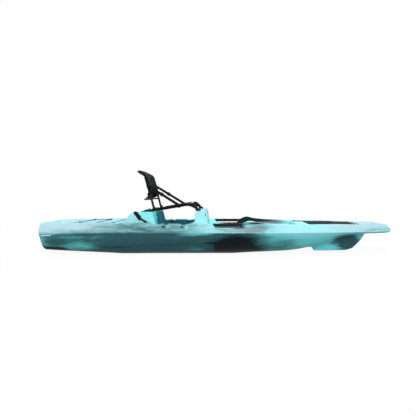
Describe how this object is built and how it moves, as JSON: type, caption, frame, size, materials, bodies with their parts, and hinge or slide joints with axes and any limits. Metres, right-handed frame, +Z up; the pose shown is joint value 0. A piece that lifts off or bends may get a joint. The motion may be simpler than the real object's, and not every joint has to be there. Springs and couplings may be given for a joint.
{
  "type": "sit-on-top fishing kayak",
  "caption": "Moulded sit-on-top fishing kayak with deck wells, side grab rails and a raised frame seat whose strapped back folds forward.",
  "frame": {"origin": "on the level of the flat bottom, under the middle of the hull's length and breadth", "axes": "+X towards the bow, +Y to port, +Z up"},
  "size_m": [3.5048, 0.889, 0.8156],
  "materials": {
    "marbled_polyethylene": "rotomoulded polyethylene, aqua marbled with grey, satin",
    "black_anodised_tube": "black anodised tube",
    "black_nylon": "black moulded nylon",
    "black_mesh_cloth": "black woven mesh",
    "padded_cloth": "black padded cloth",
    "black_webbing": "black webbing",
    "stainless_steel": "stainless steel",
    "black_rubber": "black rubber",
    "shock_cord": "black elastic cord"
  },
  "bodies": {
    "kayak_hull": {"hull": "marbled_polyethylene", "grab_rail_left": "black_nylon", "grab_rail_right": "black_nylon", "paddle_keeper_left": "black_nylon", "paddle_keeper_right": "black_nylon", "keeper_cord_left": "shock_cord", "keeper_cord_right": "shock_cord", "tankwell_eye_1": "black_nylon", "tankwell_eye_2": "black_nylon", "tankwell_eye_3": "black_nylon", "tankwell_eye_4": "black_nylon", "tankwell_eye_5": "black_nylon", "tankwell_eye_6": "black_nylon", "tankwell_bungee": "shock_cord", "bow_eye_1": "black_nylon", "bow_eye_2": "black_nylon", "bow_eye_3": "black_nylon", "bow_eye_4": "black_nylon", "bow_eye_5": "black_nylon", "bow_eye_6": "black_nylon", "bow_cover_cord": "shock_cord", "bow_mesh_cover": "black_mesh_cloth"},
    "seat_base": {"seat_base_frame": "black_anodised_tube", "seat_sling": "black_mesh_cloth", "hinge_bracket_left": "black_nylon", "hinge_bracket_right": "black_nylon", "hinge_bolt_left": "stainless_steel", "hinge_bolt_right": "stainless_steel", "back_strap_left": "black_webbing", "back_strap_right": "black_webbing", "strap_buckle_left": "black_nylon", "strap_buckle_right": "black_nylon", "strap_tail_left": "black_webbing", "strap_tail_right": "black_webbing", "front_foot_left": "black_nylon", "front_foot_right": "black_nylon", "rear_clip_left": "black_nylon", "rear_clip_right": "black_nylon"},
    "seat_back": {"seat_back_frame": "black_anodised_tube", "back_bow_bar": "black_anodised_tube", "seat_back_panel": "black_mesh_cloth", "lumbar_pad": "padded_cloth"},
    "plug": {"drain_plug": "black_nylon", "plug_gasket": "black_rubber"}
  },
  "joints": [
    {"name": "seat_lift", "type": "slide", "parent": "kayak_hull", "child": "seat_base", "axis": [0, 0, 1], "range_m": [0, 0.2]},
    {"name": "back_fold", "type": "hinge", "parent": "seat_base", "child": "seat_back", "pos_m": [-0.617, 0, 0.441], "axis": [0, 1, 0], "range_deg": [0, 85]},
    {"name": "plug_pull", "type": "slide", "parent": "kayak_hull", "child": "plug", "axis": [-1, 0, 0], "range_m": [0, 0.03]}
  ]
}
